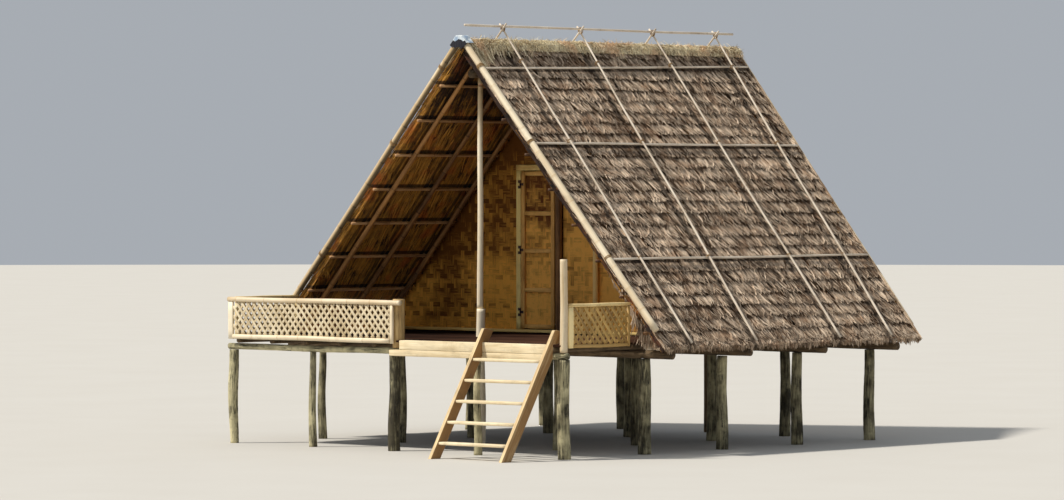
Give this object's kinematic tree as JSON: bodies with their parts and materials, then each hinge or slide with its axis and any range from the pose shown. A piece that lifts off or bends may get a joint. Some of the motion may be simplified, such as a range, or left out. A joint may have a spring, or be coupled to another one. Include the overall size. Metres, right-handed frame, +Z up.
{
  "type": "stilt house",
  "caption": "Thatched A-frame house on round stilts, with an open veranda, diamond lattice railings, a plank stair and one hinged door.",
  "frame": {"origin": "foot of the middle post of the front row, on the ground", "axes": "+X along the front to the stair side, +Y from the veranda to the back, +Z up"},
  "size_m": [5.9606, 6.9106, 4.7631],
  "materials": {
    "weathered_log": "matt",
    "pale_pole": "matt",
    "split_bamboo_floor": "matt",
    "pale_board": "matt",
    "pale_railing": "matt",
    "woven_mat": "matt",
    "door_wood": "matt",
    "dark_hinge": "dull",
    "roof_timber": "matt",
    "thatch": "rough",
    "ridge_straw": "rough",
    "plastic_sheet": "creased"
  },
  "bodies": {
    "house": {"posts_row_1": "weathered_log", "posts_row_2": "weathered_log", "rear_posts": "weathered_log", "veranda_king_post": "pale_pole", "wall_king_posts": "weathered_log", "cross_beams": "weathered_log", "floor_joists": "weathered_log", "veranda_floor": "split_bamboo_floor", "room_floor": "split_bamboo_floor", "fascia_boards": "pale_board", "stair_stringers": "pale_board", "stair_treads": "pale_board", "front_railing_frame": "pale_railing", "front_railing_lattice": "pale_railing", "right_railing_frame": "pale_railing", "right_railing_lattice": "pale_railing", "left_railing_frame": "pale_railing", "left_railing_lattice": "pale_railing", "middle_rail_post": "weathered_log", "corner_newel": "pale_pole", "wall_sills": "pale_board", "front_wall_left": "woven_mat", "front_wall_right": "woven_mat", "front_wall_over_door": "woven_mat", "rear_wall": "woven_mat", "wall_studs": "weathered_log", "door_frame": "pale_board", "jamb_hinges": "dark_hinge", "ridge_pole": "weathered_log", "eave_poles": "pale_pole", "rafters_left": "roof_timber", "rafters_right": "roof_timber", "purlins_left": "roof_timber", "purlins_right": "roof_timber", "thatch_left": "thatch", "thatch_right": "thatch", "ridge_cap": "ridge_straw", "barge_poles": "pale_pole", "slanting_poles": "pale_pole", "level_poles": "pale_pole", "ridge_tip_poles": "pale_pole", "ridge_sheet": "plastic_sheet"},
    "door": {"door_leaf_frame": "door_wood", "door_leaf_panel": "woven_mat", "leaf_hinges": "dark_hinge"}
  },
  "joints": [
    {"name": "door_hinge", "type": "hinge", "parent": "house", "child": "door", "pos_m": [-0.559, 2.7133, 2.1839], "axis": [0, 0, -1], "range_deg": [0, 110]}
  ]
}
